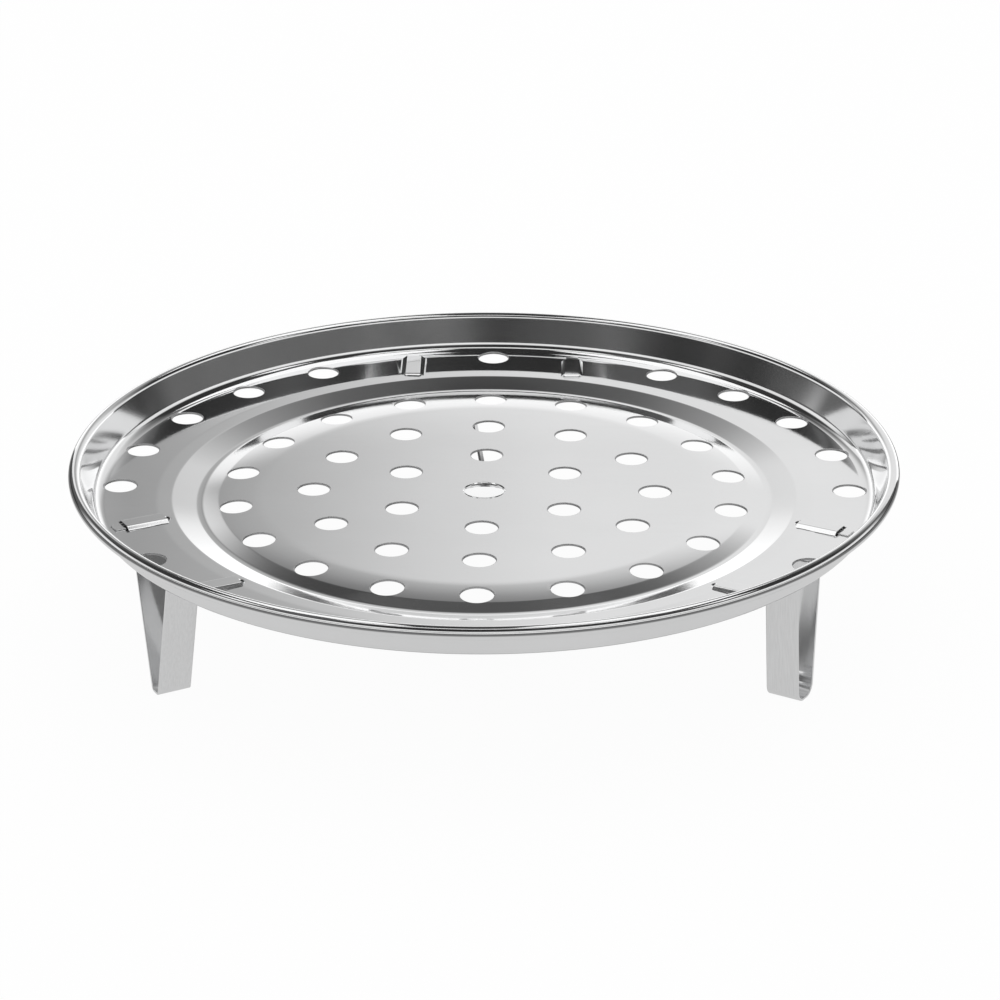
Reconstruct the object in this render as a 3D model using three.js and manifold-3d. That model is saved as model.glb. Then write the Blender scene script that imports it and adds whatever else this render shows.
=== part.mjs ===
// A round steaming rack: a pressed steel tray with a rolled rim, on three strip legs that clip into
// loops in its ledge. Millimetres, +Z up. The origin is on the rack's axis, at the floor.

import * as THREE from "three";
import { mergeVertices } from "three/addons/utils/BufferGeometryUtils.js";
import Module from "manifold-3d";

const wasm = await Module();
wasm.setup();

// Metal and fit
const SHEET = 0.6;
const STRIP = 0.8;
const CLEARANCE = 0.3;

// Arcs are drawn as chords, this close to the true curve
const CHORD_ERROR = 0.1;
const LEG_CHORD_ERROR = 0.03;

// Tray section, from the rim inward. Heights are above the flat disc, the disc's is above the floor.
const RIM_DIAMETER = 260;
const RIM_HEIGHT = 12.4;
const BEAD_RADIUS = 2;
const QUARTER_TURN = Math.PI / 2;
const CURL_PAST_TOP = 2.5 * QUARTER_TURN;
const WALL_REACH = 9.7;
const WALL_FILLET = 2.5;
const LEDGE_WIDTH = 21.5;
const LEDGE_RISE = 0.7;
const FLANK_WIDTH = 7.8;
const GROOVE_FLOOR = 1.5;
const GROOVE_DEPTH = 1;
const SHOULDER_WIDTH = 17.5;
const DISC_HEIGHT = 44;
const DIMPLE_DIAMETER = 13;
const DIMPLE_DEPTH = 0.5;
const DIMPLE_SLOPE = 1.6;
const TRAY_SEGMENTS = 60;

// Shares of the two arcs of a smooth step, so that the disc rolls off gently and the flank turns faster
const EVEN_STEP = 0.5;
const SHOULDER_STEP = 0.8;
const FLANK_STEP = 0.4;

// Holes
const HOLE_DIAMETER = 10;
const RING_PITCH = 24.6;
const RING_INSET = 11.1;
const HOLES_PER_RING_STEP = 6;
const HOLE_WEB = 3;
const LEDGE_HOLES = 24;
const LEDGE_HOLE_INSET = 5.45;

// Loops: lanced bridges on each side of a leg, open at their inner and outer ends
const LOOP_OFFSET = 27;
const LOOP_LENGTH = 12.9;
const LOOP_INSET = 8.8;
const LOOP_SIDE = 2.2;
const LOOP_ROOT = 0.4;

// Legs: a bent strip with a flat foot, two arms, two ears and a folded-back tongue on each ear
const STRIP_WIDTH = 10.8;
const FOOT_FLAT = 2;
const EAR_BEND = 1.5;
const TONGUE_WIDTH = 4.3;
const TONGUE_LEAD = 0.4;
const FOLD_SETBACK = 1.1;
const UNLATCH_TRAVEL = 4;

// Each leg's place, and how far its springy arms stand open at the top and at the foot's bend
const REAR_AZIMUTH = Math.PI / 2;
const LEG_STEP = (2 * Math.PI) / 3;
const REAR_SPREAD = 20;
const REAR_BEND = 2.4;
const LEFT_SPREAD = 25;
const LEFT_BEND = 1.7;
const RIGHT_SPREAD = 15.6;
const RIGHT_BEND = 4;
const LEGS = [
  { name: "leg_rear", azimuth: REAR_AZIMUTH, spread: REAR_SPREAD, footRadius: REAR_BEND },
  { name: "leg_left", azimuth: REAR_AZIMUTH + LEG_STEP, spread: LEFT_SPREAD, footRadius: LEFT_BEND },
  { name: "leg_right", azimuth: REAR_AZIMUTH - LEG_STEP, spread: RIGHT_SPREAD, footRadius: RIGHT_BEND },
];

// Radii on the tray
const ledgeOuter = RIM_DIAMETER / 2 - WALL_REACH;
const ledgeInner = ledgeOuter - LEDGE_WIDTH;
const discRadius = ledgeInner - FLANK_WIDTH - GROOVE_FLOOR - SHOULDER_WIDTH;
const grooveRadius = discRadius + SHOULDER_WIDTH;

// Levels where the legs meet the ledge, from the ears below it to the tongues and loops above it
const ledgeTop = DISC_HEIGHT + LEDGE_RISE;
const earTop = ledgeTop - SHEET - CLEARANCE;
const tongueBottom = ledgeTop + CLEARANCE;
const loopRise = CLEARANCE + STRIP + CLEARANCE + SHEET;

// Places along a leg's own radius
const loopOuter = ledgeOuter - LOOP_INSET;
const loopInner = loopOuter - LOOP_LENGTH;
const foldInner = loopInner + FOLD_SETBACK;
const reliefInner = foldInner - UNLATCH_TRAVEL - CLEARANCE;
const tongueTip = loopOuter + UNLATCH_TRAVEL - CLEARANCE;
const stripOuter = tongueTip - TONGUE_LEAD;
const stripInner = stripOuter - STRIP_WIDTH;

// The angle of one chord on an arc
function chordAngle(radius, error = CHORD_ERROR) {
  return 2 * Math.acos(Math.max(0, 1 - error / radius));
}

// A bent sheet's section: straight runs and arcs, with the heading at each point. Angles turn left.
class SheetLine {
  constructor(across, up, heading = 0, chordError = CHORD_ERROR) {
    this.across = across;
    this.up = up;
    this.heading = heading;
    this.chordError = chordError;
    this.points = [];
    this.mark();
  }

  mark() {
    this.points.push({ across: this.across, up: this.up, heading: this.heading });
    return this;
  }

  run(length) {
    this.across += length * Math.cos(this.heading);
    this.up += length * Math.sin(this.heading);
    return this.mark();
  }

  turn(angle, radius) {
    const steps = Math.ceil(Math.abs(angle) / chordAngle(radius, this.chordError));
    const reach = Math.sign(angle) * radius;
    const centreAcross = this.across - reach * Math.sin(this.heading);
    const centreUp = this.up + reach * Math.cos(this.heading);
    const start = this.heading;
    for (let step = 1; step <= steps; step += 1) {
      this.heading = start + (angle * step) / steps;
      this.across = centreAcross + reach * Math.sin(this.heading);
      this.up = centreUp - reach * Math.cos(this.heading);
      this.mark();
    }
    return this;
  }

  // A smooth step to another level: an arc and its opposite, which share the width
  step(width, rise, firstShare) {
    const angle = 2 * Math.atan2(rise, width);
    const radii = width / Math.sin(Math.abs(angle));
    return this.turn(angle, radii * firstShare).turn(-angle, radii * (1 - firstShare));
  }

  // The line moved sideways, to the left of its heading
  parallel(distance) {
    return this.points.map(({ across, up, heading }) => {
      return new THREE.Vector2(across - distance * Math.sin(heading), up + distance * Math.cos(heading));
    });
  }

  // The closed outline between the line and its parallel
  outline(distance) {
    return [...this.parallel(0), ...this.parallel(distance).reverse()];
  }
}

// The straight run between a left turn and a right turn whose centres lie this far apart
function runBetweenTurns(across, up, radii) {
  const apart = Math.hypot(across, up);
  const heading = Math.atan2(up, across) + Math.asin(radii / apart);
  const length = Math.sqrt(apart * apart - radii * radii);
  return { heading, length };
}

// A closed geometry as a solid that can be joined and cut
function solid(geometry) {
  const bare = geometry.clone();
  bare.deleteAttribute("normal");
  bare.deleteAttribute("uv");
  const merged = mergeVertices(bare);
  const corners = merged.index.array;
  const kept = [];
  for (let at = 0; at < corners.length; at += 3) {
    const [a, b, c] = corners.slice(at, at + 3);
    const hasArea = a !== b && b !== c && c !== a;
    if (hasArea) kept.push(a, b, c);
  }
  const vertProperties = merged.getAttribute("position").array;
  return new wasm.Manifold(new wasm.Mesh({ numProp: 3, vertProperties, triVerts: new Uint32Array(kept) }));
}

function steelMesh(name, made) {
  const { vertProperties, triVerts } = made.getMesh();
  const geometry = new THREE.BufferGeometry();
  geometry.setAttribute("position", new THREE.BufferAttribute(vertProperties, 3));
  geometry.setIndex(new THREE.BufferAttribute(triVerts, 1));
  geometry.computeVertexNormals();
  const steel = new THREE.MeshStandardMaterial({ color: 0xced1d3, roughness: 0.12, metalness: 1 });
  const mesh = new THREE.Mesh(geometry, steel);
  mesh.name = name;
  return mesh;
}

const radial = new THREE.Vector3(1, 0, 0);
const tangent = new THREE.Vector3(0, 1, 0);
const up = new THREE.Vector3(0, 0, 1);

// A section drawn across a leg's radius, drawn out along it
function extrudeOutward(outline, from, length) {
  const bar = new THREE.ExtrudeGeometry(new THREE.Shape(outline), { depth: length, bevelEnabled: false });
  return bar.applyMatrix4(new THREE.Matrix4().makeBasis(tangent, up, radial)).translate(from, 0, 0);
}

// A section drawn along a leg's radius, drawn out across it about a centre line
function extrudeSideways(outline, centre, width) {
  const bar = new THREE.ExtrudeGeometry(new THREE.Shape(outline), { depth: width, bevelEnabled: false });
  const turned = bar.applyMatrix4(new THREE.Matrix4().makeBasis(radial, up, tangent.clone().negate()));
  return turned.translate(0, centre + width / 2, 0);
}

// A block that cuts through the ledge, between two radii and about a centre line
function ledgeCut(from, to, centre, width) {
  const height = 4 * (LEDGE_RISE + GROOVE_DEPTH + SHEET);
  return new THREE.BoxGeometry(to - from, width, height).translate((from + to) / 2, centre, ledgeTop);
}

// The tray's sheet, from the dimple in the middle to the end of the rolled rim
function traySheet() {
  const beadAcross = RIM_DIAMETER / 2 - BEAD_RADIUS;
  const beadUp = RIM_HEIGHT - BEAD_RADIUS - LEDGE_RISE - WALL_FILLET;
  const wall = runBetweenTurns(beadAcross - ledgeOuter, beadUp, WALL_FILLET + BEAD_RADIUS);
  const line = new SheetLine(0, DISC_HEIGHT - DIMPLE_DEPTH)
    .run(DIMPLE_DIAMETER / 2 - DIMPLE_SLOPE)
    .step(DIMPLE_SLOPE, DIMPLE_DEPTH, EVEN_STEP)
    .run(discRadius - DIMPLE_DIAMETER / 2)
    .step(SHOULDER_WIDTH, -GROOVE_DEPTH, SHOULDER_STEP)
    .run(GROOVE_FLOOR)
    .step(FLANK_WIDTH, GROOVE_DEPTH + LEDGE_RISE, FLANK_STEP)
    .run(LEDGE_WIDTH)
    .turn(wall.heading, WALL_FILLET)
    .run(wall.length)
    .turn(-wall.heading, BEAD_RADIUS)
    .turn(-QUARTER_TURN, BEAD_RADIUS)
    .turn(QUARTER_TURN - CURL_PAST_TOP, BEAD_RADIUS);
  const section = [...line.parallel(-SHEET), ...line.parallel(0).reverse()];
  return solid(new THREE.LatheGeometry(section, TRAY_SEGMENTS).rotateX(Math.PI / 2));
}

function holeCut(radius, azimuth) {
  const height = 4 * (LEDGE_RISE + GROOVE_DEPTH + SHEET);
  const sides = Math.ceil((2 * Math.PI) / chordAngle(HOLE_DIAMETER / 2));
  const cut = new THREE.CylinderGeometry(HOLE_DIAMETER / 2, HOLE_DIAMETER / 2, height, sides);
  return solid(cut.rotateX(Math.PI / 2).translate(radius, 0, DISC_HEIGHT).rotateZ(azimuth));
}

// Rings of holes in the disc, each with one more step of holes than the ring inside it
function discHoles() {
  const outermost = grooveRadius - RING_INSET;
  const innermost = (DIMPLE_DIAMETER + HOLE_DIAMETER) / 2 + HOLE_WEB;
  const rings = 1 + Math.floor((outermost - innermost) / RING_PITCH);
  const cuts = [];
  for (let ring = 1; ring <= rings; ring += 1) {
    const count = ring * HOLES_PER_RING_STEP;
    for (let hole = 0; hole < count; hole += 1) {
      const azimuth = LEGS[0].azimuth + (2 * Math.PI * hole) / count;
      cuts.push(holeCut(outermost - (rings - ring) * RING_PITCH, azimuth));
    }
  }
  return cuts;
}

// One ring of holes in the ledge, with a gap where each loop stands
function ledgeHoles() {
  const radius = ledgeOuter - LEDGE_HOLE_INSET;
  const reach = TONGUE_WIDTH / 2 + LOOP_SIDE + HOLE_DIAMETER / 2 + HOLE_WEB;
  const cuts = [];
  for (let hole = 0; hole < LEDGE_HOLES; hole += 1) {
    const azimuth = LEGS[0].azimuth + (2 * Math.PI * hole) / LEDGE_HOLES;
    const meetsLoop = LEGS.some((leg) => {
      const ahead = radius * Math.cos(azimuth - leg.azimuth);
      const aside = Math.abs(radius * Math.sin(azimuth - leg.azimuth));
      return ahead > 0 && Math.abs(aside - LOOP_OFFSET) < reach;
    });
    if (!meetsLoop) cuts.push(holeCut(radius, azimuth));
  }
  return cuts;
}

// A loop's bridge across its tongue, with its roots in the ledge
function loopBridge(centre) {
  const line = new SheetLine(centre - TONGUE_WIDTH / 2 - LOOP_SIDE - LOOP_ROOT, ledgeTop)
    .run(LOOP_ROOT)
    .step(LOOP_SIDE, loopRise, EVEN_STEP)
    .run(TONGUE_WIDTH)
    .step(LOOP_SIDE, -loopRise, EVEN_STEP)
    .run(LOOP_ROOT);
  return extrudeOutward(line.outline(-SHEET), loopInner, LOOP_LENGTH);
}

function buildTray() {
  let tray = traySheet();
  for (const cut of [...discHoles(), ...ledgeHoles()]) tray = tray.subtract(cut);
  for (const { azimuth } of LEGS) {
    for (const centre of [-LOOP_OFFSET, LOOP_OFFSET]) {
      const window = ledgeCut(loopInner, loopOuter, centre, TONGUE_WIDTH + 2 * LOOP_SIDE);
      const relief = ledgeCut(reliefInner, loopOuter, centre, TONGUE_WIDTH + 2 * CLEARANCE);
      tray = tray.subtract(solid(window.rotateZ(azimuth))).subtract(solid(relief.rotateZ(azimuth)));
      tray = tray.add(solid(loopBridge(centre).rotateZ(azimuth)));
    }
  }
  return steelMesh("tray", tray);
}

// The strip seen along a leg's radius: foot, arms and ears
function legOutline(spread, footRadius) {
  const earBottom = earTop - STRIP;
  const bendAcross = spread / 2 + EAR_BEND;
  const arm = runBetweenTurns(
    bendAcross - FOOT_FLAT / 2,
    earBottom - EAR_BEND - footRadius,
    footRadius + EAR_BEND,
  );
  const half = new SheetLine(FOOT_FLAT / 2, 0, 0, LEG_CHORD_ERROR)
    .turn(arm.heading, footRadius)
    .run(arm.length)
    .turn(-arm.heading, EAR_BEND)
    .run(LOOP_OFFSET + TONGUE_WIDTH / 2 - bendAcross)
    .outline(STRIP);
  const mirrored = half.map((point) => new THREE.Vector2(-point.x, point.y)).reverse();
  return [...half, ...mirrored];
}

// The fold at an ear's end, seen across a leg's radius: in under the loop, round, and out over the ledge
function tongueOutline() {
  const foldRadius = (tongueBottom - earTop) / 2;
  const foldCentre = foldInner + STRIP + foldRadius;
  return new SheetLine(stripOuter, earTop, Math.PI, LEG_CHORD_ERROR)
    .run(stripOuter - foldCentre)
    .turn(-Math.PI, foldRadius)
    .run(tongueTip - foldCentre)
    .outline(STRIP);
}

function buildLeg({ name, spread, footRadius }) {
  let leg = solid(extrudeOutward(legOutline(spread, footRadius), stripInner, STRIP_WIDTH));
  for (const centre of [-LOOP_OFFSET, LOOP_OFFSET]) {
    leg = leg.add(solid(extrudeSideways(tongueOutline(), centre, TONGUE_WIDTH)));
  }
  return steelMesh(name, leg);
}

const rack = new THREE.Group();
rack.add(buildTray());
for (const leg of LEGS) {
  const seat = new THREE.Group();
  seat.rotation.z = leg.azimuth;
  seat.add(buildLeg(leg));
  rack.add(seat);
}

export default rack;
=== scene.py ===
# %% [markdown]
# # A round steaming rack in pressed steel
#
# The real rack is four pieces of stainless steel: a thin pressed tray with a rolled rim and rows of steam
# holes, and three legs bent from strip that clip into loops in the tray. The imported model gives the
# frame: where each piece is, and how each leg slides. This lesson dresses that frame with finer meshes
# and with polished steel, one piece at a time.

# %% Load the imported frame
from math import asin, atan2, ceil, copysign, cos, hypot, pi, radians, sin, sqrt

import bmesh
import bpy
from mathutils import Matrix, Vector


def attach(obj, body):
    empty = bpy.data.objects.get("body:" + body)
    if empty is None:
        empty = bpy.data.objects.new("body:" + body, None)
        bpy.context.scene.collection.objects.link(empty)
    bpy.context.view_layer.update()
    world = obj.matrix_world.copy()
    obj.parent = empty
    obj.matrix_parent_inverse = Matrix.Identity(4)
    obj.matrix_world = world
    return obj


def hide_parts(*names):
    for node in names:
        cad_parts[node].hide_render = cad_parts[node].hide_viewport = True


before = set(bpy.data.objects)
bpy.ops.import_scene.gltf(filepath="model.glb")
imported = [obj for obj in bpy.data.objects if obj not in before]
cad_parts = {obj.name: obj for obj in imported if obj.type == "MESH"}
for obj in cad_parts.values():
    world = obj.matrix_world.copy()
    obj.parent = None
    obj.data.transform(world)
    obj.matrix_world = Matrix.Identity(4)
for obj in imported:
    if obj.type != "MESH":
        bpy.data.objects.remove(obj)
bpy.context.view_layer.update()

# %% [markdown]
# ## The camera
#
# The photograph looks down at the rack from the front with a long lens, so that the round tray is a flat
# ellipse with little perspective. The place and the angles below were found by lining up the steam holes.

# %% Camera
MM = 0.001
SENSOR_WIDTH = 36
FOCAL_LENGTH = 135.95
CAMERA_PLACE = (31.9, -1095.5, 508.85)
CAMERA_DEGREES = (66.868, 0.124, 1.356)

lens = bpy.data.cameras.new("camera")
lens.sensor_width = SENSOR_WIDTH
lens.lens = FOCAL_LENGTH
camera = bpy.data.objects.new("camera", lens)
camera.location = Vector(CAMERA_PLACE) * MM
camera.rotation_euler = [radians(turn) for turn in CAMERA_DEGREES]
bpy.context.scene.collection.objects.link(camera)
bpy.context.scene.camera = camera
bpy.context.scene.view_settings.view_transform = "Standard"
print("camera stands", round(camera.location.length, 3), "m from the middle of the floor")

# %% [markdown]
# ## Shader maths as plain expressions
#
# Blender's materials are graphs of nodes. Adding each Math node by hand hides the idea behind the wiring,
# so one small class stands for what a socket gives. Sums and products of such values add their own nodes.


# %% A value in a node tree
class Flow:
    """What one socket gives. Arithmetic on it adds Math nodes to its tree."""

    def __init__(self, tree, socket=None):
        self.tree = tree
        self.socket = socket

    def node(self, kind, settings=None, inputs=None, gives=0):
        made = self.tree.nodes.new("ShaderNode" + kind)
        for name, value in (settings or {}).items():
            if name == "stops":
                set_stops(made.color_ramp.elements, value)
            else:
                setattr(made, name, value)
        for name, value in (inputs or {}).items():
            if isinstance(value, Flow):
                self.tree.links.new(value.socket, made.inputs[name])
            else:
                made.inputs[name].default_value = value
        return Flow(self.tree, made.outputs[gives] if made.outputs else None)

    def output(self, name):
        return Flow(self.tree, self.socket.node.outputs[name])

    def math(self, operation, *values):
        return self.node("Math", {"operation": operation}, dict(enumerate(values)))

    def between(self, low, high, start=0.0, end=1.0):
        ends = {"From Min": low, "From Max": high, "To Min": start, "To Max": end}
        return self.node("MapRange", {"interpolation_type": "SMOOTHSTEP"}, {"Value": self, **ends})

    def __add__(self, other):
        return self.math("ADD", self, other)

    def __sub__(self, other):
        return self.math("SUBTRACT", self, other)

    def __rsub__(self, other):
        return self.math("SUBTRACT", other, self)

    def __mul__(self, other):
        return self.math("MULTIPLY", self, other)

    __radd__ = __add__
    __rmul__ = __mul__


print("shader values can be added, subtracted and multiplied")

# %% [markdown]
# Two helpers go with the class. A colour ramp turns a number into a grey level, and its stops are written
# here as pairs of a place and a level. A new material or world comes with nodes of its own, so its tree is
# cleared before it is used.


# %% Colour ramps and empty trees
def set_stops(elements, stops):
    """Sets a colour ramp's stops from (place, grey level) pairs."""
    while len(elements) < len(stops):
        elements.new(1.0)
    for element, (place, level) in zip(elements, stops):
        element.position = place
        element.color = (level, level, level, 1.0)


def new_tree(owner):
    """An empty node tree on a material or a world."""
    owner.use_nodes = True
    owner.node_tree.nodes.clear()
    return Flow(owner.node_tree)


print("ramps and trees are ready")

# %% [markdown]
# ## The studio
#
# Polished steel has almost no colour of its own: it looks like what stands around it. In the photograph
# the flats mirror something bright behind the rack, while the rear wall and the groove are dark, as if
# the rack stood in a dim room with pale walls. Only mirrored rays see that room. The camera sees a white
# background, and plain soft white light comes from all sides.
#
# The pale walls are two bands of light, low and high, with a dark gap between them. They keep the steel
# from turning black when it is seen from behind, and they end towards the back, where a card stands. The
# gap lies where the tray's rear wall looks when it is seen from the front, which keeps that wall dark. It
# is lower towards the back, so it is measured on a tilted height.

# %% World
WHITE = (1.0, 1.0, 1.0, 1.0)
DIM_ROOM = [
    (0.0, 0.08),
    (0.25, 0.08),
    (0.60, 0.07),
    (1.0, 0.06),
]
PATCH_GRAIN = {"Scale": 1.6, "Detail": 1.0}
PATCH_NOISE = (0.35, 0.65)
PATCH_LEVELS = (0.45, 1.7)
GAP_TILT = 0.2
PALE_WALLS = [
    (0.0, 0.8),
    (0.145, 0.8),
    (0.165, 0.0),
    (0.24, 0.0),
    (0.26, 0.8),
    (0.48, 0.8),
    (0.56, 0.0),
]
BANDS_BEGIN = (0.06, 0.10)
BANDS_END = (0.55, 0.75)

world = bpy.data.worlds.new("studio")
bpy.context.scene.world = world
studio = new_tree(world)
direction = studio.node("TexCoord", gives="Generated")
parts = studio.node("SeparateXYZ", {}, {"Vector": direction})
rise = parts.output("Z")
back = parts.output("Y")
patches = studio.node("TexNoise", {}, {"Vector": direction, **PATCH_GRAIN})
patchy = patches.between(*PATCH_NOISE, *PATCH_LEVELS)
dim = studio.node("ValToRGB", {"stops": DIM_ROOM}, {"Fac": rise}) * patchy
bands = studio.node("ValToRGB", {"stops": PALE_WALLS}, {"Fac": rise + back * GAP_TILT})
above_floor = rise.between(*BANDS_BEGIN)
not_behind = back.between(*BANDS_END, 1.0, 0.0)
room = dim + bands * above_floor * not_behind
mirrored = studio.node("LightPath", gives="Is Glossy Ray")
either = {"Factor": mirrored, "A": WHITE, "B": room}
seen = studio.node("Mix", {"data_type": "RGBA"}, either, gives="Result")
background = studio.node("Background", {}, {"Color": seen, "Strength": 1.0})
studio.node("OutputWorld", {}, {"Surface": background})
print("world has", len(world.node_tree.nodes), "nodes")

# %% [markdown]
# Every mesh here is shaped in a bmesh, Blender's editable mesh, and then kept. An object made from it stays
# at the origin, unturned, and its place is in its mesh. A pattern on Object coordinates then lies in the
# same place when the model is exported.


# %% Meshes and objects
def keep_mesh(name, shape):
    """Makes a mesh from a bmesh, and frees the bmesh."""
    mesh = bpy.data.meshes.new(name)
    shape.to_mesh(mesh)
    shape.free()
    return mesh


def link_mesh(name, shape, *materials):
    """Makes an object from a bmesh, at the origin."""
    mesh = keep_mesh(name, shape)
    for material in materials:
        mesh.materials.append(material)
    made = bpy.data.objects.new(name, mesh)
    bpy.context.scene.collection.objects.link(made)
    return made


print("meshes can be kept and linked")

# %% [markdown]
# The floor is a plain pale table. Seen by the camera it is almost pure white with a faint shadow. The
# steel sees a ring of pale grey table round the rack. Inside the ring the table is painted dark, a painted
# shadow of the tray that lies a little to the rear, and outside it the dim room begins. That painted
# shadow and ring are what tone the legs, the inside of their bends and the rim's skirt.

# %% Floor
FLOOR_SIZE = 4.0
FLOOR_PALE = (0.72, 0.72, 0.72, 1.0)
CAMERA_WHITE = 0.96
MIRROR_SHARE = 0.85
TABLE_REACH = 0.5
SHADE_MIDDLE = (0.0, 0.03, 0.0)
# Painted shadow for mirrored rays: dark under the tray, a pale ring round it, dark again beyond.
TABLE_PAINTED_SHADOW = [
    (0.0, 0.06),
    (0.20, 0.08),
    (0.24, 0.68),
    (0.40, 0.66),
    (0.52, 0.08),
    (1.0, 0.05),
]

table_white = bpy.data.materials.new("table_white")
table = new_tree(table_white)
rays = table.node("LightPath", gives="Is Camera Ray")
mirrors = rays.output("Is Glossy Ray") + rays.output("Is Transmission Ray")
place = table.node("TexCoord", gives="Object")
from_shade = table.node("VectorMath", {"operation": "DISTANCE"}, {0: place, 1: SHADE_MIDDLE}, gives="Value")
# The mirrored table's tone is painted: its dark middle is a painted shadow of the tray.
painted_shadow = table.node("ValToRGB", {"stops": TABLE_PAINTED_SHADOW}, {"Fac": from_shade * (1 / TABLE_REACH)})
lit = table.node("BsdfDiffuse", {}, {"Color": FLOOR_PALE})
either = {"Factor": mirrors, "A": WHITE, "B": painted_shadow}
tone = table.node("Mix", {"data_type": "RGBA"}, either, gives="Result")
white_or_painted_shadow = table.node("Emission", {}, {"Color": tone, "Strength": 1.0})
share = rays * CAMERA_WHITE + mirrors * MIRROR_SHARE
mixed = table.node("MixShader", {}, {0: share, 1: lit, 2: white_or_painted_shadow})
table.node("OutputMaterial", {}, {"Surface": mixed})

shape = bmesh.new()
bmesh.ops.create_grid(shape, x_segments=1, y_segments=1, size=FLOOR_SIZE)
floor = link_mesh("floor", shape, table_white)
print("floor is", 2 * FLOOR_SIZE, "m wide")

# %% [markdown]
# Photographers stand white cards near shiny things. The one behind the rack is brightest near the table
# and fades out at its upper edge, which gives the flat disc its even tone and the rolled-off shoulder its
# shading. It is uneven from left to right too, as the tray is. A card near the rack does this better than
# a painted sky, because each part of the tray sees a different part of the card.

# %% Light of the back card
CARD_LEFT = -0.36
CARD_RIGHT = 0.46
CARD_TOP = 0.56
CARD_LEVEL = 1.3
CARD_PLAIN_BELOW = 0.36
CARD_UNEVEN_ABOVE = 0.46
CARD_UPWARD = [
    (0.0, 1.0),
    (0.22, 1.0),
    (0.29, 0.88),
    (0.35, 0.77),
    (0.42, 0.68),
    (0.59, 0.70),
    (0.68, 0.47),
    (0.75, 0.31),
    (0.81, 0.24),
    (0.90, 0.12),
    (1.0, 0.07),
]
CARD_ACROSS = [
    (0.0, 1.0),
    (0.134, 1.0),
    (0.165, 0.85),
    (0.189, 0.45),
    (0.213, 0.40),
    (0.293, 0.53),
    (0.384, 0.77),
    (0.463, 0.90),
    (0.62, 0.95),
    (1.0, 0.95),
]

card_white = bpy.data.materials.new("card_white")
glow = new_tree(card_white)
spot = glow.node("SeparateXYZ", {}, {"Vector": glow.node("TexCoord", gives="Object")})
height = spot.output("Z") * (1 / CARD_TOP)
side = (spot.output("X") - CARD_LEFT) * (1 / (CARD_RIGHT - CARD_LEFT))
upward = glow.node("ValToRGB", {"stops": CARD_UPWARD}, {"Fac": height})
sideways = glow.node("ValToRGB", {"stops": CARD_ACROSS}, {"Fac": side})
uneven = height.between(CARD_PLAIN_BELOW, CARD_UNEVEN_ABOVE)
tone = upward * ((sideways - 1.0) * uneven + 1.0)
light = glow.node("Emission", {}, {"Color": tone, "Strength": CARD_LEVEL})
glow.node("OutputMaterial", {}, {"Surface": light})
print("card shows", CARD_LEVEL, "times white at its foot")

# %% [markdown]
# The card itself is a flat square, stretched and turned upright. Only mirrors see it: it is hidden from the
# camera, and it throws neither light nor shadow on the table.

# %% Stand the card
CARD_PLACE = 0.55

shape = bmesh.new()
middle = Matrix.Translation(((CARD_LEFT + CARD_RIGHT) / 2, CARD_PLACE, CARD_TOP / 2))
upright = Matrix.Rotation(pi / 2, 4, "X")
size = Matrix.Diagonal((CARD_RIGHT - CARD_LEFT, CARD_TOP, 1, 1))
bmesh.ops.create_grid(shape, x_segments=1, y_segments=1, size=0.5, matrix=middle @ upright @ size)
card = link_mesh("back_card", shape, card_white)
card.visible_camera = card.visible_diffuse = card.visible_transmission = card.visible_shadow = False
print("card stands", CARD_PLACE, "m behind the middle of the rack")

# %% [markdown]
# Five soft boxes hang overhead: a narrow strip over the front edge, a small one to each side, and a long
# one behind each shoulder of the rack. On flat steel they do not show at all, but each rounded edge finds
# them and draws them out into bright lines, as the rolled rim and the foot of the wall do in the
# photograph.

# %% Soft boxes
BOX_HEIGHT = 1.0
SOFT_BOXES = {
    "soft_strip": {"place": (0, -0.11), "wide": 0.76, "deep": 0.18, "level": 0.9},
    "soft_side_left": {"place": (-0.84, -0.06), "wide": 0.3, "deep": 0.28, "level": 1.0},
    "soft_side_right": {"place": (0.84, -0.06), "wide": 0.3, "deep": 0.28, "level": 1.0},
    "soft_box_left": {"place": (-0.33, 0.5), "wide": 0.36, "deep": 0.9, "level": 1.1},
    "soft_box_right": {"place": (0.26, 0.5), "wide": 0.4, "deep": 0.9, "level": 1.1},
}


def soft_box(name, place, wide, deep, level):
    """A lamp that hangs level and shows this bright in a mirror, where 1 is white."""
    lamp = bpy.data.lights.new(name, "AREA")
    lamp.shape = "RECTANGLE"
    lamp.size = wide
    lamp.size_y = deep
    lamp.energy = level * pi * wide * deep
    box = bpy.data.objects.new(name, lamp)
    box.location = (*place, BOX_HEIGHT)
    bpy.context.scene.collection.objects.link(box)
    print(name, "burns", round(lamp.energy, 2), "watts")


for name, box in SOFT_BOXES.items():
    soft_box(name, **box)

# %% [markdown]
# ## Steel
#
# The sheet is polished after rolling. Up close it is not perfect: the polish leaves very fine streaks
# that spread its gloss a little, wiping leaves cloudy patches, and pressing leaves the flats faintly
# wavy. Each is one noise pattern on Object coordinates, so that it stays on the steel when a piece moves.

# %% Polished steel
NOISE_MIDDLE = 0.5
STREAK_STRETCH = 40
STREAK_GRAIN = {"Scale": 60.0, "Detail": 4.0, "Roughness": 0.6}
STREAK_HEIGHT = 0.0006 * MM
STREAK_DULLING = 0.6
CLOUD_GRAIN = {"Scale": 22.0, "Detail": 3.0, "Roughness": 0.55}
CLOUD_NOISE = (0.35, 0.75)
CLOUD_DULLING = 1.5
WIPED_NOISE = (0.3, 0.8)
WIPED_SHADE = 0.03
WAVE_GRAIN = {"Scale": 30.0, "Detail": 0.0}
WAVE_HEIGHT = 0.03 * MM


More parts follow.
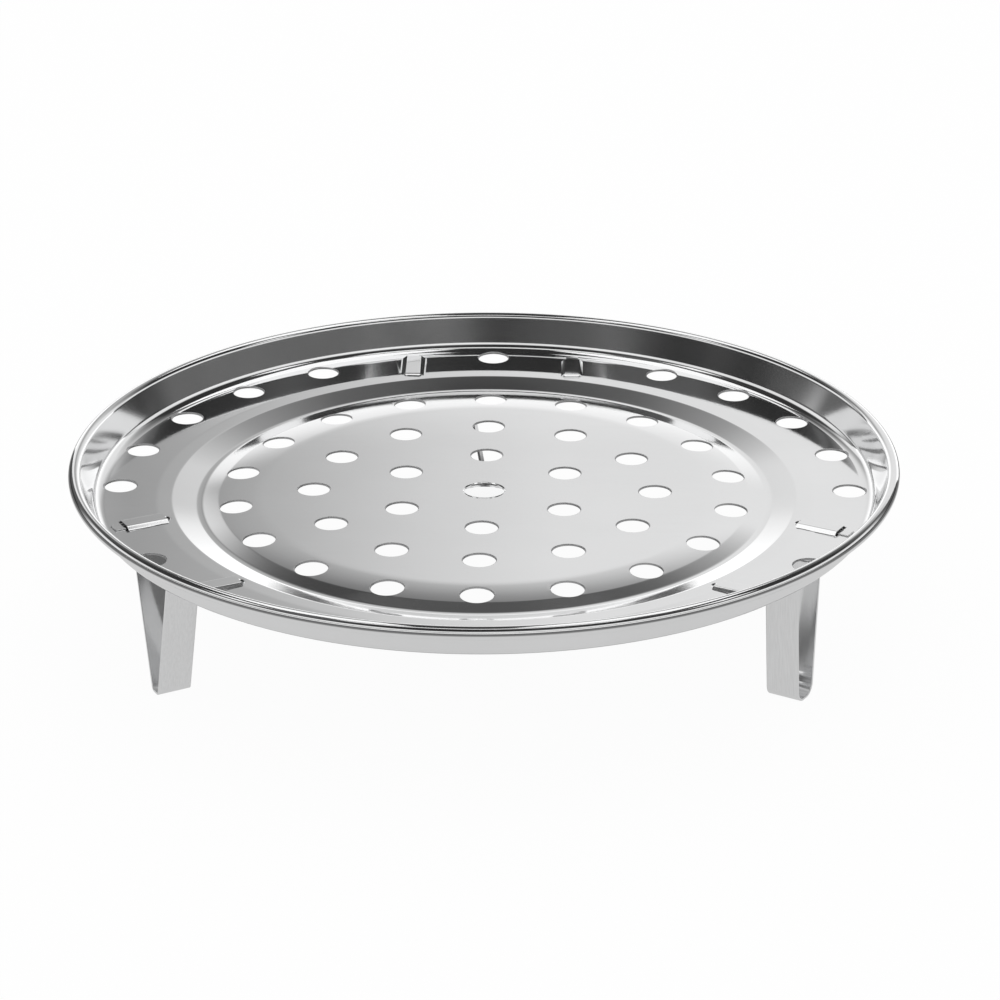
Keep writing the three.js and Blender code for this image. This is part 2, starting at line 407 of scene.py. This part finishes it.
def polished_steel(name, colour, gloss, streak_axis, streak_depth):
    """A polished steel with fine streaks along one axis, cloudy wiping marks and faint waves."""
    material = bpy.data.materials.new(name)
    steel = new_tree(material)
    place = steel.node("TexCoord", gives="Object")
    stretch = [STREAK_STRETCH] * 3
    stretch[streak_axis] = 1
    along = steel.node("Mapping", {}, {"Vector": place, "Scale": stretch})
    streaks = steel.node("TexNoise", {}, {"Vector": along, **STREAK_GRAIN})
    clouds = steel.node("TexNoise", {}, {"Vector": place, **CLOUD_GRAIN})
    waves = steel.node("TexNoise", {}, {"Vector": place, **WAVE_GRAIN})
    cloudy = clouds.between(*CLOUD_NOISE, gloss, gloss * CLOUD_DULLING)
    roughness = cloudy + (streaks - NOISE_MIDDLE) * (gloss * STREAK_DULLING)
    wiped = clouds.between(*WIPED_NOISE) * WIPED_SHADE + (1.0 - WIPED_SHADE)
    tone = wiped * ((streaks - NOISE_MIDDLE) * streak_depth + 1.0)
    pale = steel.node("Mix", {"data_type": "RGBA", "blend_type": "MULTIPLY"},
                      {"Factor": 1.0, "A": colour, "B": tone}, gives="Result")
    wavy = steel.node("Bump", {}, {"Height": waves, "Strength": 1.0, "Distance": WAVE_HEIGHT})
    streaky = {"Height": streaks, "Strength": 1.0, "Distance": STREAK_HEIGHT}
    fine = steel.node("Bump", {}, {**streaky, "Normal": wavy})
    body = steel.node("BsdfPrincipled", {}, {
        "Base Color": pale,
        "Metallic": 1.0,
        "Roughness": roughness,
        "Normal": fine,
    })
    steel.node("OutputMaterial", {}, {"Surface": body})
    return material


SHEET_COLOUR = (0.88, 0.882, 0.885, 1.0)
STRIP_COLOUR = (0.87, 0.872, 0.875, 1.0)
tray_steel = polished_steel("polished_sheet", SHEET_COLOUR, gloss=0.06, streak_axis=0, streak_depth=0.05)
leg_steel = polished_steel("polished_strip", STRIP_COLOUR, gloss=0.10, streak_axis=2, streak_depth=0.2)
print("steels:", tray_steel.name, leg_steel.name)

# %% [markdown]
# A punched edge is never polished: the tool shears through the sheet and leaves the wall of the hole grey
# and torn. It is the same steel with a darker, rougher face, and it draws the thin grey line inside each
# hole. Its grey is partly that torn face and partly painted shade, and it covers each hole's rolled-over
# top edge as well as its wall.

# %% Punched edge and painted shade
TORN_GRAIN = {"Scale": 1500.0, "Detail": 2.0}
TORN_NOISE = (0.2, 0.8)
TORN_HEIGHT = 0.02 * MM
# Both greys are partly the torn face's own tone and partly painted shade in and round the holes.
TORN_AND_SHADED_DARK = (0.46, 0.46, 0.465, 1.0)
TORN_AND_SHADED_PALE = (0.62, 0.62, 0.625, 1.0)
TORN_GLOSS = (0.35, 0.55)

# The punched edge's darker grey is partly painted shade.
punched_edge_and_shade = bpy.data.materials.new("punched_edge_and_shade")
shear = new_tree(punched_edge_and_shade)
spot = shear.node("TexCoord", gives="Object")
torn = shear.node("TexNoise", {}, {"Vector": spot, **TORN_GRAIN})
greys = {"Factor": torn, "A": TORN_AND_SHADED_DARK, "B": TORN_AND_SHADED_PALE}
dull_and_shaded = shear.node("Mix", {"data_type": "RGBA"}, greys, gives="Result")
ragged = shear.node("Bump", {}, {"Height": torn, "Strength": 1.0, "Distance": TORN_HEIGHT})
wall = shear.node("BsdfPrincipled", {}, {
    "Base Color": dull_and_shaded,
    "Metallic": 1.0,
    "Roughness": torn.between(*TORN_NOISE, *TORN_GLOSS),
    "Normal": ragged,
})
shear.node("OutputMaterial", {}, {"Surface": wall})
print("punched edge is ready")

# %% [markdown]
# ## A pen for bent sheet
#
# Sheet steel is bent, not carved, so every section here is a line of straight runs and round bends. The
# pen draws one in a bmesh: it extrudes its last vertex along a run, and spins it round the centre of a
# bend.

# %% Section pen
BEND_STEP = radians(5)
FLAT_EDGE = 0.4 * MM


class Pen:
    """Draws a section in the XZ plane of a bmesh. A bend to the left is positive."""

    def __init__(self, shape, across, up, heading=0.0):
        self.shape = shape
        self.tip = shape.verts.new((across, 0, up))
        self.heading = heading

    def stretch(self, length):
        self.tip = bmesh.ops.extrude_vert_indiv(self.shape, verts=[self.tip])["verts"][0]
        self.tip.co += Vector((cos(self.heading), 0, sin(self.heading))) * length

    def run(self, length):
        """A straight run. Short ends beside the bends keep its middle flat in the shading."""
        if length > 3 * FLAT_EDGE:
            for part in (FLAT_EDGE, length - 2 * FLAT_EDGE, FLAT_EDGE):
                self.stretch(part)
        elif length > 0:
            self.stretch(length)
        return self

    def bend(self, angle, radius):
        side = Vector((-sin(self.heading), 0, cos(self.heading))) * copysign(radius, angle)
        turned = bmesh.ops.spin(
            self.shape,
            geom=[self.tip],
            cent=self.tip.co + side,
            axis=(0, -1, 0),
            angle=angle,
            steps=max(2, ceil(abs(angle) / BEND_STEP)),
        )
        self.tip = [part for part in turned["geom_last"] if isinstance(part, bmesh.types.BMVert)][0]
        self.heading += angle
        return self

    def slope_to(self, angle, radius):
        """A bend that ends at this slope."""
        return self.bend(angle - self.heading, radius)


print("a bend takes a step every", round(BEND_STEP * 180 / pi, 1), "degrees")

# %% [markdown]
# ## The tray
#
# From the middle outward the pressing has a shallow dimple, a flat disc, a gentle shoulder that steps
# down into a drain groove, a flank up to the ledge, a leaning wall and a rolled rim. A lathe is the
# natural tool: the section is drawn once with the pen and spun round the rack's axis, and a Solidify
# modifier gives the sheet its thickness on the under side.

# %% Dimple, disc and groove
DISC_HEIGHT = 44 * MM
DIMPLE_RADIUS = 6.8 * MM
DIMPLE_SLOPE = 0.55 * MM
DIMPLE_DEPTH = 0.26 * MM
DIMPLE_BEND = 0.3 * MM
DISC_RADIUS = 70 * MM
DISC_EDGE_BEND = 95 * MM
SHOULDER_START = radians(-1.8)
SHOULDER_ANGLE = radians(-4.2)
SHOULDER_END = 82.5 * MM
SHOULDER_CROWN = 240 * MM
SHOULDER_BEND = 8 * MM
GROOVE_ANGLE = radians(-8.5)
GROOVE_RADIUS = 89.3 * MM
GROOVE_BEND = 5 * MM
GROOVE_FLOOR = 0.8 * MM


def reach(pen, across):
    """Runs on at the pen's own slope until it is this far from the axis."""
    pen.run((across - pen.tip.co.x) / cos(pen.heading))


def ramp(pen, across, up, first_bend, second_bend, last_slope=0.0):
    """Bends up off the level, runs straight, and bends back to this slope at this place."""
    wide = across + second_bend * sin(last_slope) - pen.tip.co.x
    high = up - second_bend * cos(last_slope) - pen.tip.co.z - first_bend
    apart = hypot(wide, high)
    bends = first_bend + second_bend
    pen.slope_to(atan2(high, wide) + asin(bends / apart), first_bend)
    pen.run(sqrt(apart * apart - bends * bends))
    pen.slope_to(last_slope, second_bend)


shape = bmesh.new()
pen = Pen(shape, 0, DISC_HEIGHT - DIMPLE_DEPTH)
reach(pen, DIMPLE_RADIUS - DIMPLE_SLOPE)
ramp(pen, DIMPLE_RADIUS, DISC_HEIGHT, DIMPLE_BEND, DIMPLE_BEND)
reach(pen, DISC_RADIUS)
pen.slope_to(SHOULDER_START, DISC_EDGE_BEND).slope_to(SHOULDER_ANGLE, SHOULDER_CROWN)
reach(pen, SHOULDER_END)
pen.slope_to(GROOVE_ANGLE, SHOULDER_BEND)
reach(pen, GROOVE_RADIUS - GROOVE_BEND * sin(-GROOVE_ANGLE))
pen.slope_to(0, GROOVE_BEND).run(GROOVE_FLOOR)
print("groove is", round((DISC_HEIGHT - pen.tip.co.z) / MM, 2), "mm below the disc")

# %% [markdown]
# The pen goes on from the groove. The ledge begins with a lip that still rises a little, and lies level
# from there to the foot of the wall. The rim is the sheet's own edge, rolled outward and down from its top
# into a bead, which keeps it stiff and leaves no sharp edge to touch.

# %% Ledge, wall and rim
LEDGE_TOP = DISC_HEIGHT + 0.7 * MM
FLANK_BEND = 2.5 * MM
LIP_START = 98.4 * MM
LIP_END = 102.4 * MM
LIP_ANGLE = radians(3)
LIP_BEND = 20 * MM
WALL_FOOT = 119.3 * MM
WALL_FILLET = 4 * MM
RIM_RADIUS = 130 * MM
RIM_TOP = DISC_HEIGHT + 12.4 * MM
BEAD_RADIUS = 2 * MM
CURL_PAST_TOP = radians(225)

lip_rise = (LIP_END - LIP_START) * sin(LIP_ANGLE) + LIP_BEND * (1 - cos(LIP_ANGLE))
ramp(pen, LIP_START, LEDGE_TOP - lip_rise, FLANK_BEND, FLANK_BEND, LIP_ANGLE)
pen.run(LIP_END - LIP_START).slope_to(0, LIP_BEND)
print("ledge is", round((pen.tip.co.z - DISC_HEIGHT) / MM, 2), "mm above the disc")
reach(pen, WALL_FOOT)
ramp(pen, RIM_RADIUS - BEAD_RADIUS, RIM_TOP, WALL_FILLET, BEAD_RADIUS)
pen.bend(-CURL_PAST_TOP, BEAD_RADIUS)
section = [(vert.co.x, vert.co.z) for vert in shape.verts]
print("section has", len(section), "points, widest", round(max(section)[0] / MM, 2), "mm")

# %% [markdown]
# A full spin leaves a seam and a pole at the axis, so doubled points are merged, and only then are the
# faces turned to point up. The dimple's floor is tipped by a few degrees, so that it mirrors another part
# of the room than the disc does and takes its own tone. The sheet's thickness goes below, because the
# drawn section is the side that is seen.

# %% Spin the tray
SHEET = 0.6 * MM
SPIN_STEPS = 240
MERGE = 0.001 * MM
DIMPLE_TILT = radians(-4.4)


def lathe(shape, steps):
    """Spins a section through a full turn round the Z axis, and closes its seam and poles."""
    bmesh.ops.spin(
        shape,
        geom=shape.verts[:] + shape.edges[:],
        cent=(0, 0, 0),
        axis=(0, 0, 1),
        angle=2 * pi,
        steps=steps,
        use_merge=True,
    )
    bmesh.ops.remove_doubles(shape, verts=shape.verts, dist=MERGE)
    bmesh.ops.dissolve_degenerate(shape, edges=shape.edges, dist=MERGE)
    bmesh.ops.recalc_face_normals(shape, faces=shape.faces)


def thicken(piece, thickness, offset):
    """Gives a sheet its thickness: below its faces with an offset of -1, to both sides with 0."""
    made = piece.modifiers.new("thickness", "SOLIDIFY")
    made.thickness = thickness
    made.offset = offset
    made.use_even_offset = True
    return made


lathe(shape, SPIN_STEPS)
middle = min(shape.faces, key=lambda face: face.calc_center_median().xy.length)
if middle.normal.z < 0:
    bmesh.ops.reverse_faces(shape, faces=shape.faces)
bmesh.ops.rotate(
    shape,
    verts=[vert for vert in shape.verts if vert.co.xy.length < DIMPLE_RADIUS - DIMPLE_SLOPE + MERGE],
    cent=(0, 0, DISC_HEIGHT - DIMPLE_DEPTH),
    matrix=Matrix.Rotation(DIMPLE_TILT, 3, "X"),
)
tray = link_mesh("pressed_tray", shape, tray_steel, punched_edge_and_shade)
thicken(tray, SHEET, -1)
print("tray spun with", len(tray.data.polygons), "faces")

# %% [markdown]
# ## The steam holes
#
# The holes are punched from above, so the sheet rolls over a little at the top edge before it shears. One
# punch is spun from its own section, with that roll-over flared at its top, and stamped at every hole. A
# Boolean then cuts them all at once, and gives the walls and the roll-over the punched-edge finish, whose
# grey is partly painted shade.

# %% Punch
HOLE_RADIUS = 5.1 * MM
ROLL_OVER = 0.45 * MM
ROLL_OVER_START = radians(12)
ROLL_OVER_END = radians(55)
ROLL_OVER_RUN = 0.2 * MM
PUNCH_REACH = 3 * MM
PUNCH_STEPS = 48


def tool_mesh(name, shape):
    """A cutting tool's mesh. All its faces leave the punched edge, whose grey is partly painted shade."""
    for face in shape.faces:
        face.material_index = 1
    return keep_mesh(name, shape)


shape = bmesh.new()
drop = ROLL_OVER * (cos(ROLL_OVER_START) - cos(ROLL_OVER_END))
pen = Pen(shape, 0, -PUNCH_REACH)
pen.stretch(HOLE_RADIUS)
pen.heading = pi / 2
pen.stretch(PUNCH_REACH - drop)
pen.heading = ROLL_OVER_END
pen.slope_to(ROLL_OVER_START, ROLL_OVER)
pen.stretch(ROLL_OVER_RUN)
pen.heading = pi / 2
pen.stretch(PUNCH_REACH)
pen.heading = pi
pen.stretch(pen.tip.co.x)
lathe(shape, PUNCH_STEPS)
punch = tool_mesh("punch", shape)
print("punch rolls the edge over", round(drop / MM, 2), "mm deep")

# %% [markdown]
# The holes lie on rings, each given by its distance from the axis in millimetres and its number of
# places: 6, 12 and 18 on the disc and its shoulder, and 24 on the ledge, of which six are left out to
# make room for the loops. The shoulder slopes, so each punch stands square to the sheet where it cuts.

# %% Stamp the holes
DISC_RINGS = ((29.2, 6), (53.8, 12), (78.4, 18))
LEDGE_RING = (114.85, 24)
HOLES_LEFT_OUT = (1, 7, 9, 15, 17, 23)
REAR = pi / 2


def sheet_at(across):
    """Height and slope of the tray's top, this far from its axis."""
    for (near, low), (far, high) in zip(section, section[1:]):
        if near <= across <= far and far - near > MERGE:
            slope = (high - low) / (far - near)
            return low + slope * (across - near), atan2(high - low, far - near)


def stamp(shape, tool, place):
    """Adds a copy of a tool's mesh to a bmesh, moved to a place."""
    before = len(shape.verts)
    shape.from_mesh(tool)
    shape.verts.ensure_lookup_table()
    bmesh.ops.transform(shape, matrix=place, verts=shape.verts[before:])


def on_sheet(across, turn):
    """The place on the tray's top this far out, at this angle from the rear, square to the sheet."""
    height, slope = sheet_at(across)
    return (
        Matrix.Rotation(REAR + turn, 4, "Z")
        @ Matrix.Translation((across, 0, height))
        @ Matrix.Rotation(-slope, 4, "Y")
    )


cuts = bmesh.new()
holes = 0
for across, count in (*DISC_RINGS, LEDGE_RING):
    for hole in range(count):
        if (across, count) != LEDGE_RING or hole not in HOLES_LEFT_OUT:
            stamp(cuts, punch, on_sheet(across * MM, 2 * pi * hole / count))
            holes += 1
print("stamped", holes, "holes")

# %% [markdown]
# ## The loops
#
# Beside each leg two short bridges are lanced out of the ledge: the sheet is slit twice and the strip
# between is pushed up, so that a tongue of the leg can pass under it. The sheet under each bridge is cut
# away here. The front loops have a round relief at the inner mouth too, where a fingernail finds the end
# of the tongue.

# %% Loop cuts
LEG_TURNS = {"leg_rear": 0.0, "leg_left": 2 * pi / 3, "leg_right": -2 * pi / 3}
LOOP_ASIDE = 27 * MM
LOOP_OUTER = 111.5 * MM
LOOP_INNER = 98.0 * MM
WINDOW_INNER = 98.3 * MM
WINDOW_OUTER = 111.2 * MM
WINDOW_WIDTH = 5.4 * MM
WINDOW_CORNER = 0.6 * MM
WINDOW_CORNER_STEPS = 3
RELIEF_RADIUS = 2.6 * MM
RELIEF_CENTRE = 98.6 * MM
RELIEF_STEPS = 32
TOOL_HEIGHT = 8 * MM

shape = bmesh.new()
size = Matrix.Diagonal((WINDOW_OUTER - WINDOW_INNER, WINDOW_WIDTH, TOOL_HEIGHT, 1))
place = Matrix.Translation(((WINDOW_INNER + WINDOW_OUTER) / 2, 0, LEDGE_TOP))
bmesh.ops.create_cube(shape, size=1, matrix=place @ size)
upright = [edge for edge in shape.edges if abs(edge.verts[0].co.z - edge.verts[1].co.z) > MM]
bmesh.ops.bevel(
    shape,
    geom=upright,
    offset=WINDOW_CORNER,
    affect="EDGES",
    segments=WINDOW_CORNER_STEPS,
    profile=0.5,
    material=-1,
)
window = tool_mesh("window", shape)

shape = bmesh.new()
bmesh.ops.create_cone(
    shape,
    cap_ends=True,
    segments=RELIEF_STEPS,
    radius1=RELIEF_RADIUS,
    radius2=RELIEF_RADIUS,
    depth=TOOL_HEIGHT,
    matrix=Matrix.Translation((RELIEF_CENTRE, 0, LEDGE_TOP)),
)
relief = tool_mesh("relief", shape)

loop_places = {
    (node, side): Matrix.Rotation(REAR + turn, 4, "Z") @ Matrix.Translation((0, side * LOOP_ASIDE, 0))
    for node, turn in LEG_TURNS.items()
    for side in (-1, 1)
}
reliefs = bmesh.new()
for (node, side), place in loop_places.items():
    stamp(cuts, window, place)
    if node != "leg_rear":
        stamp(reliefs, relief, place)
print("cut", len(loop_places), "windows for the tongues")

# %% [markdown]
# A bridge is a bent ribbon: half its section is drawn with the pen and mirrored, and drawn out along the
# radius. Its feet are sunk a little into the ledge, so that the two join without a gap.

# %% Loop bridge
LOOP_RISE = 0.85 * MM
LOOP_FLAT = 4.6 * MM
LOOP_ROOT = 4.3 * MM
LOOP_ROOT_RUN = 0.4 * MM
LOOP_ROOT_BEND = 0.3 * MM
LOOP_TOP_BEND = 0.45 * MM
LOOP_BURIED = 0.15 * MM


def ribbon(shape, along, distance):
    """Draws every edge of a bmesh out along a direction."""
    made = bmesh.ops.extrude_edge_only(shape, edges=shape.edges[:])["geom"]
    verts = [part for part in made if isinstance(part, bmesh.types.BMVert)]
    bmesh.ops.translate(shape, verts=verts, vec=Vector(along) * distance)


def face_up(shape):
    """Turns the faces of an open sheet so that its highest one points up."""
    bmesh.ops.recalc_face_normals(shape, faces=shape.faces)
    if max(shape.faces, key=lambda face: abs(face.normal.z)).normal.z < 0:
        bmesh.ops.reverse_faces(shape, faces=shape.faces)


shape = bmesh.new()
pen = Pen(shape, -LOOP_ROOT, LEDGE_TOP - LOOP_BURIED)
pen.stretch(LOOP_ROOT_RUN)
ramp(pen, -LOOP_FLAT / 2, LEDGE_TOP + LOOP_RISE, LOOP_ROOT_BEND, LOOP_TOP_BEND)
pen.run(LOOP_FLAT / 2)
bmesh.ops.mirror(shape, geom=shape.verts[:] + shape.edges[:], axis="X", merge_dist=MERGE)
bmesh.ops.rotate(shape, verts=shape.verts, cent=(0, 0, 0), matrix=Matrix.Rotation(pi / 2, 3, "Z"))
ribbon(shape, (1, 0, 0), LOOP_OUTER - LOOP_INNER)
face_up(shape)
bridge = keep_mesh("bridge", shape)
print("bridge is", round((LOOP_OUTER - LOOP_INNER) / MM, 1), "mm long")

# %% [markdown]
# The relief at a front loop is pressed down into a half bowl. Its section runs from the middle of the floor
# up to the ledge, and is spun through half a turn on the side that faces the rack's axis.

# %% Relief bowl
BOWL_DEPTH = 1.3 * MM
BOWL_FLOOR = 0.3 * MM
BOWL_BEND = 0.45 * MM
BOWL_STEPS = 24

shape = bmesh.new()
pen = Pen(shape, 0, LEDGE_TOP - BOWL_DEPTH)
pen.stretch(BOWL_FLOOR)
ramp(pen, RELIEF_RADIUS, LEDGE_TOP - LOOP_BURIED, BOWL_BEND, BOWL_BEND)
pen.stretch(LOOP_ROOT_RUN)
bmesh.ops.spin(
    shape,
    geom=shape.verts[:] + shape.edges[:],
    cent=(0, 0, 0),
    axis=(0, 0, 1),
    angle=pi,
    steps=BOWL_STEPS,
)
bmesh.ops.remove_doubles(shape, verts=shape.verts, dist=MERGE)
bmesh.ops.rotate(shape, verts=shape.verts, cent=(0, 0, 0), matrix=Matrix.Rotation(pi / 2, 3, "Z"))
face_up(shape)
bowl = keep_mesh("bowl", shape)
print("bowl is", round(BOWL_DEPTH / MM, 1), "mm deep")

# %% [markdown]
# Most bridges stand a little higher at the outer mouth, and the two rear ones were not pushed up quite
# alike. So a bridge leans by a given angle about its inner mouth before it is turned to its place.

# %% Place the loops
LOOP_SHEET = 0.4 * MM
LOOP_LEAN = radians(1.2)
LOOP_LEANS = {("leg_rear", 1): radians(4.5), ("leg_rear", -1): 0.0}

shape = bmesh.new()
mouth = Matrix.Translation((LOOP_INNER, 0, LEDGE_TOP))
to_origin = Matrix.Translation((0, 0, -LEDGE_TOP))
for (node, side), place in loop_places.items():
    lean = Matrix.Rotation(-LOOP_LEANS.get((node, side), LOOP_LEAN), 4, "Y")
    stamp(shape, bridge, place @ mouth @ lean @ to_origin)
    if node != "leg_rear":
        stamp(shape, bowl, place @ Matrix.Translation((RELIEF_CENTRE, 0, 0)))
loops = link_mesh("loops", shape, tray_steel, punched_edge_and_shade)
thicken(loops, LOOP_SHEET, -1)
print("bridged", len(loop_places), "loops,", round(LOOP_RISE / MM, 2), "mm high")

# %% [markdown]
# Three Booleans make the tray one piece of steel: the holes and windows are cut, then the reliefs, and
# last the bridges and bowls are joined on. The result is settled into a plain mesh. Only edges that turn
# by more than a bend's own step are drawn sharp, so that bends stay smooth while cut edges stay crisp.

# %% Cut and join the tray
SHARP = radians(8)


def boolean(piece, operation, tool):
    """Adds a Boolean modifier that works with another object."""
    made = piece.modifiers.new(operation.lower(), "BOOLEAN")
    made.operation = operation
    made.object = tool
    made.solver = "EXACT"
    made.material_mode = "TRANSFER"


def settle(piece):
    """Makes what the modifiers give the piece's own mesh."""
    graph = bpy.context.evaluated_depsgraph_get()
    settled = bpy.data.meshes.new_from_object(piece.evaluated_get(graph))
    piece.modifiers.clear()
    piece.data = settled


hole_cuts = link_mesh("hole_cuts", cuts, tray_steel, punched_edge_and_shade)
relief_cuts = link_mesh("relief_cuts", reliefs, tray_steel, punched_edge_and_shade)
boolean(tray, "DIFFERENCE", hole_cuts)
boolean(tray, "DIFFERENCE", relief_cuts)
boolean(tray, "UNION", loops)
settle(tray)
for tool in (hole_cuts, relief_cuts, loops):
    bpy.data.objects.remove(tool)
tray.data.shade_smooth()
tray.data.set_sharp_from_angle(angle=SHARP)
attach(tray, "tray")
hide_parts("tray")
tray.data.calc_loop_triangles()
print("tray has", len(tray.data.loop_triangles), "triangles")

# %% [markdown]
# ## The legs
#
# Each leg is one strip: a foot, two springy arms, two ears that lie under the ledge, and at the end of
# each ear a narrow tab that is folded back into a tongue. Half a leg is drawn with the pen and drawn out
# into a ribbon, the tab's edge is drawn on and spun round its fold, and a mirror makes the other half.

# %% Half a leg
STRIP = 0.8 * MM
STRIP_WIDTH = 10.8 * MM
STRIP_INNER = 104 * MM
STRIP_MIDDLE = STRIP / 2
FOOT_FLAT = 2 * MM
EAR_TOP = 43.8 * MM
EAR_BEND = 1.5 * MM
TONGUE_WIDTH = 4.3 * MM
TONGUE_SIDE = LOOP_ASIDE - TONGUE_WIDTH / 2


def half_strip(spread, foot_radius):
    """Half a leg as a ribbon through the middle of the strip, from the foot to the end of an ear."""
    shape = bmesh.new()
    pen = Pen(shape, 0, STRIP_MIDDLE)
    pen.run(FOOT_FLAT / 2)
    foot_bend = foot_radius - STRIP_MIDDLE
    ear_bend = EAR_BEND + STRIP_MIDDLE
    ramp(pen, spread / 2 + EAR_BEND, EAR_TOP - STRIP_MIDDLE, foot_bend, ear_bend)
    reach(pen, TONGUE_SIDE)
    pen.stretch(TONGUE_WIDTH)
    bmesh.ops.rotate(shape, verts=shape.verts, cent=(0, 0, 0), matrix=Matrix.Rotation(pi / 2, 3, "Z"))
    bmesh.ops.translate(shape, verts=shape.verts, vec=(STRIP_INNER, 0, 0))
    ribbon(shape, (1, 0, 0), STRIP_WIDTH)
    return shape


print("a tongue will be", round(TONGUE_WIDTH / MM, 1), "mm wide")

# %% [markdown]
# The tongue is the ear's own end folded back over the ear, and it is thinner, so that it slips under the
# low loop. The fold is a spin through half a turn. A vertex group tells the Solidify modifier how thick
# each part is.

# %% Fold a tongue
TONGUE_TIP = 115.2 * MM
TONGUE_FOOT = 44.74 * MM
TONGUE_SHARE = 0.44
FOLD_CENTRE = 103.7 * MM
FOLD_STEPS = 16


def draw_on(shape, edges, vec):
    """Extrudes some edges by a vector and gives the edges at the far side."""
    made = bmesh.ops.extrude_edge_only(shape, edges=edges)["geom"]
    verts = [part for part in made if isinstance(part, bmesh.types.BMVert)]
    bmesh.ops.translate(shape, verts=verts, vec=vec)
    return [part for part in made if isinstance(part, bmesh.types.BMEdge)]


def fold_tongue(shape):
    """Folds the end of the ear back into a tongue, and notes how thick each part of the strip is."""
    tab = [
        edge
        for edge in shape.edges
        if all(abs(vert.co.x - STRIP_INNER) < MERGE for vert in edge.verts)
        and min(vert.co.y for vert in edge.verts) > TONGUE_SIDE - MERGE
    ]
    tab = draw_on(shape, tab, (FOLD_CENTRE - STRIP_INNER, 0, 0))
    ear_middle = EAR_TOP - STRIP_MIDDLE
    fold_height = (ear_middle + TONGUE_FOOT + STRIP_MIDDLE * TONGUE_SHARE) / 2
    before_fold = set(shape.verts)
    turned = bmesh.ops.spin(
        shape,
        geom=tab + list({vert for edge in tab for vert in edge.verts}),
        cent=(FOLD_CENTRE, 0, fold_height),
        axis=(0, 1, 0),
        angle=pi,
        steps=FOLD_STEPS,
    )
    tab = [part for part in turned["geom_last"] if isinstance(part, bmesh.types.BMEdge)]
    draw_on(shape, tab, (TONGUE_TIP - FOLD_CENTRE, 0, 0))
    weights = shape.verts.layers.deform.verify()
    for vert in shape.verts:
        folded = 0.0
        if vert not in before_fold:
            folded = (vert.co.z - ear_middle) / (2 * (fold_height - ear_middle))
        vert[weights][0] = 1.0 - (1.0 - TONGUE_SHARE) * folded


print("a tongue is", round(STRIP * TONGUE_SHARE / MM, 2), "mm thick")

# %% [markdown]
# The mirrored halves are merged and turned to their place. Each leg springs open by its own amount, as in
# the photograph, so each has its own spread and its own bend at the foot, in millimetres. A small Bevel
# modifier eases the strip's edges, as a maker does so that they do not cut.

# %% Bend the legs
LEG_SHAPES = {"leg_rear": (20, 2.4), "leg_left": (25, 1.7), "leg_right": (15.6, 4)}
EDGE_EASE = 0.15 * MM
EDGE_ANGLE = radians(50)
EDGE_STEPS = 2


def bent_leg(node, spread, foot_radius):
    """A leg of bent strip in the place of a CAD leg."""
    shape = half_strip(spread, foot_radius)
    fold_tongue(shape)
    everything = shape.verts[:] + shape.edges[:] + shape.faces[:]
    bmesh.ops.mirror(shape, geom=everything, axis="Y", merge_dist=MERGE)
    bmesh.ops.remove_doubles(shape, verts=shape.verts, dist=MERGE)
    bmesh.ops.recalc_face_normals(shape, faces=shape.faces)
    bmesh.ops.transform(shape, matrix=Matrix.Rotation(REAR + LEG_TURNS[node], 4, "Z"), verts=shape.verts)
    leg = link_mesh("bent_" + node, shape, leg_steel)
    leg.vertex_groups.new(name="strip")
    leg.data.shade_smooth()
    thicken(leg, STRIP, 0).vertex_group = "strip"
    soften = leg.modifiers.new("edges", "BEVEL")
    soften.width = EDGE_EASE
    soften.segments = EDGE_STEPS
    soften.limit_method = "ANGLE"
    soften.angle_limit = EDGE_ANGLE
    soften.harden_normals = True
    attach(leg, node)
    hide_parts(node)
    return leg


for node, (spread, foot_radius) in LEG_SHAPES.items():
    leg = bent_leg(node, spread * MM, foot_radius * MM)
    print(leg.name, "bent from", len(leg.data.polygons), "faces")
